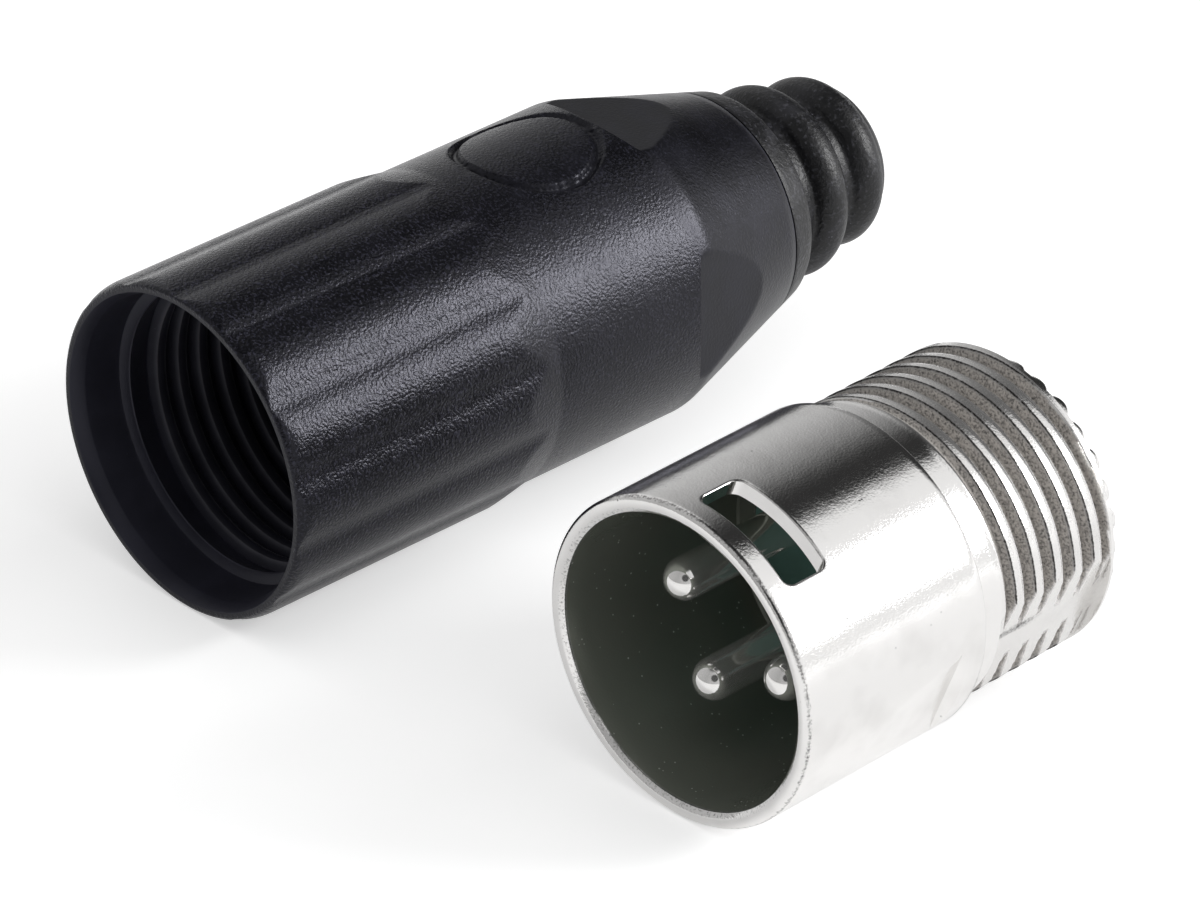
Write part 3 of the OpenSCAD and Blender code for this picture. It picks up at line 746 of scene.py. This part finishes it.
# The boot is a profile turned round the axis: a collar on the tail's cone, then
# bootRadius, a round end and the bore, with a low seam along it
def makeBoot():
    a = np.arange(0, 360, 2.0)[None, :]
    start = housing["end"]
    stop = start + boot["collar"]
    edge, first = (float(tailRadius(np.array(v))) for v in (stop, start))
    last = boot["rings"][-1]["at"]
    ease = boot["rings"][-1]["round"]
    nose = boot["rings"][-1]["crest"] - ease
    rows = [(boot["bore"], boot["sleeveFrom"]), (boot["sleeve"], boot["sleeveFrom"]), (boot["sleeve"], start),
            (first - 0.14, start), (first - 0.04, start + 0.05), (first - 0.04, start + 0.14)]
    rows += [(float(tailRadius(np.array(v))), v) for v in np.linspace(start + 0.4, stop - 0.2, 5)]
    rows += [(edge, stop - 0.12), (edge - 0.06, stop - 0.02), (edge - 0.2, stop), (5.25, stop + 0.05),
             (5.0, stop + 0.2)]
    along = np.arange(stop + 0.4, last + 0.25, 0.1)
    rows += list(zip(bootRadius(along), along))
    rows += roundEdge(nose, last, ease, 20, 90, 12)
    rows += [(boot["bore"], last + ease - 0.12)]
    rows += [(boot["bore"], v) for v in np.linspace(last - 1, boot["sleeveFrom"] + 1, 6)]
    r, s = (np.array([row[i] for row in rows])[:, None] + 0 * a for i in (0, 1))
    seam = np.exp(-((a - 22 + 180) % 360 - 180) ** 2 / 1.5)
    r = r + boot["seam"] * seam * ((s > start + 0.3) & (r > 4.2))
    return gridMesh("boot", lay(r, s, a, housingPlace))


addPiece("boot_rubber", makeBoot(), finish["rubber"], ["boot"], 50)
print("boot made")


# The pieces whose solids are right keep them, with a finish of their own
def dress(node, material):
    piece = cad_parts[node]
    piece.data.materials.clear()
    piece.data.materials.append(material)


for node, key in (("insert", "insert"), ("ground_tag", "contact"), ("cable_clamp", "clamp")):
    dress(node, finish[key])
print("inner pieces dressed")


# Studio: a white table, a softbox behind on the right, and surroundings that
# are light on the right, grey on the left and dark between and overhead
studio = dict(
    floorSize=3.0, floorTone=0.80, floorLift=0.46, floorShine=0.55,
    keyPower=3.6, keySize=0.28, keyTurn=45, keyLift=25, keyFar=0.7,
    topPower=1.7, topSize=0.7, topPlace=(0.10, -0.10, 0.75),
    # a dark patch overhead, from one height to another, and a dark patch round
    # the camera, as its direction and its edges
    highEdge=(0.84, 0.95), dark=(0.608, -0.610, 0.508), darkEdge=(0.935, 0.965), darkTone=0.04,
    # brightness round the horizon, in degrees from straight behind to the right
    around=[(-180, 0.40), (-100, 0.55), (-60, 0.82), (-44, 0.36), (-34, 0.18), (-26, 0.07), (-18, 0.03),
            (3, 0.03), (13, 0.95), (70, 1.0), (120, 0.6), (180, 0.40)],
)


# The floor glows a little for the camera and for mirror images, and so turns
# white, but keeps the part's shadow
def makeFloor(setup):
    far = setup["floorSize"]
    corners = [(-far, -far, 0), (far, -far, 0), (far, far, 0), (-far, far, 0)]
    mesh = bpy.data.meshes.new("floor")
    mesh.from_pydata(corners, [], [(0, 1, 2, 3)])
    floor = bpy.data.objects.new("floor", mesh)
    bpy.context.collection.objects.link(floor)
    material, s = newMaterial("floor")
    tone = setup["floorTone"]
    s.put(Base_Color=colour(tone, tone, tone), Roughness=0.9, Specular_IOR_Level=0.0)
    path = s.node("LightPath", {}, {})
    mirrored = Num(s, path.outputs["Is Glossy Ray"]) * setup["floorShine"]
    seen = Num(s, path.outputs["Is Camera Ray"]).larger(mirrored)
    lift = s.blend(seen * setup["floorLift"], colour(0, 0, 0), colour(1, 1, 1))
    s.put(Emission_Strength=1.0, Emission_Color=lift)
    mesh.materials.append(material)


# The surroundings light the part as the horizon's tones say, and the camera
# sees them white
def makeWorld(setup):
    world = bpy.data.worlds.new("studio")
    bpy.context.scene.world = world
    world.use_nodes = True
    s = Shader(world.node_tree, "Background", "Generated")
    split = s.node("SeparateXYZ", {}, {0: s.place})
    x, y, z = (Num(s, split.outputs[i]) for i in range(3))
    stops = [((turn + 180) / 360, tone) for turn, tone in setup["around"]]
    horizon = s.node("ValToRGB", dict(stops=stops), {0: x.math("ARCTAN2", y) * (0.5 / math.pi) + 0.5})
    high = z.ramp(*setup["highEdge"])
    facing = (x * setup["dark"][0] + y * setup["dark"][1] + z * setup["dark"][2]).ramp(*setup["darkEdge"])
    tone = setup["darkTone"]
    light = s.blend(high.larger(facing), horizon.outputs[0], colour(tone, tone, tone))
    seen = Num(s, s.node("LightPath", {}, {}).outputs["Is Camera Ray"])
    s.put(Color=s.blend(seen, light, colour(1, 1, 1)), Strength=1.0)


# a square lamp that faces the part, seen in mirror images or not
def addLamp(name, power, size, spot, glossy):
    data = bpy.data.lights.new(name, "AREA")
    data.energy, data.size, data.shape = power, size, "SQUARE"
    lamp = bpy.data.objects.new(name, data)
    bpy.context.collection.objects.link(lamp)
    lamp.location = spot
    lamp.rotation_euler = (-Vector(spot)).to_track_quat("-Z", "Y").to_euler()
    lamp.visible_glossy = glossy


makeFloor(studio)
makeWorld(studio)
turn, lift, far = math.radians(studio["keyTurn"]), math.radians(studio["keyLift"]), studio["keyFar"]
keySpot = (far * math.sin(turn) * math.cos(lift), far * math.cos(turn) * math.cos(lift), far * math.sin(lift))
addLamp("key", studio["keyPower"], studio["keySize"], keySpot, True)
addLamp("top", studio["topPower"], studio["topSize"], studio["topPlace"], False)
bpy.context.scene.view_settings.view_transform = "Standard"
print("studio made")
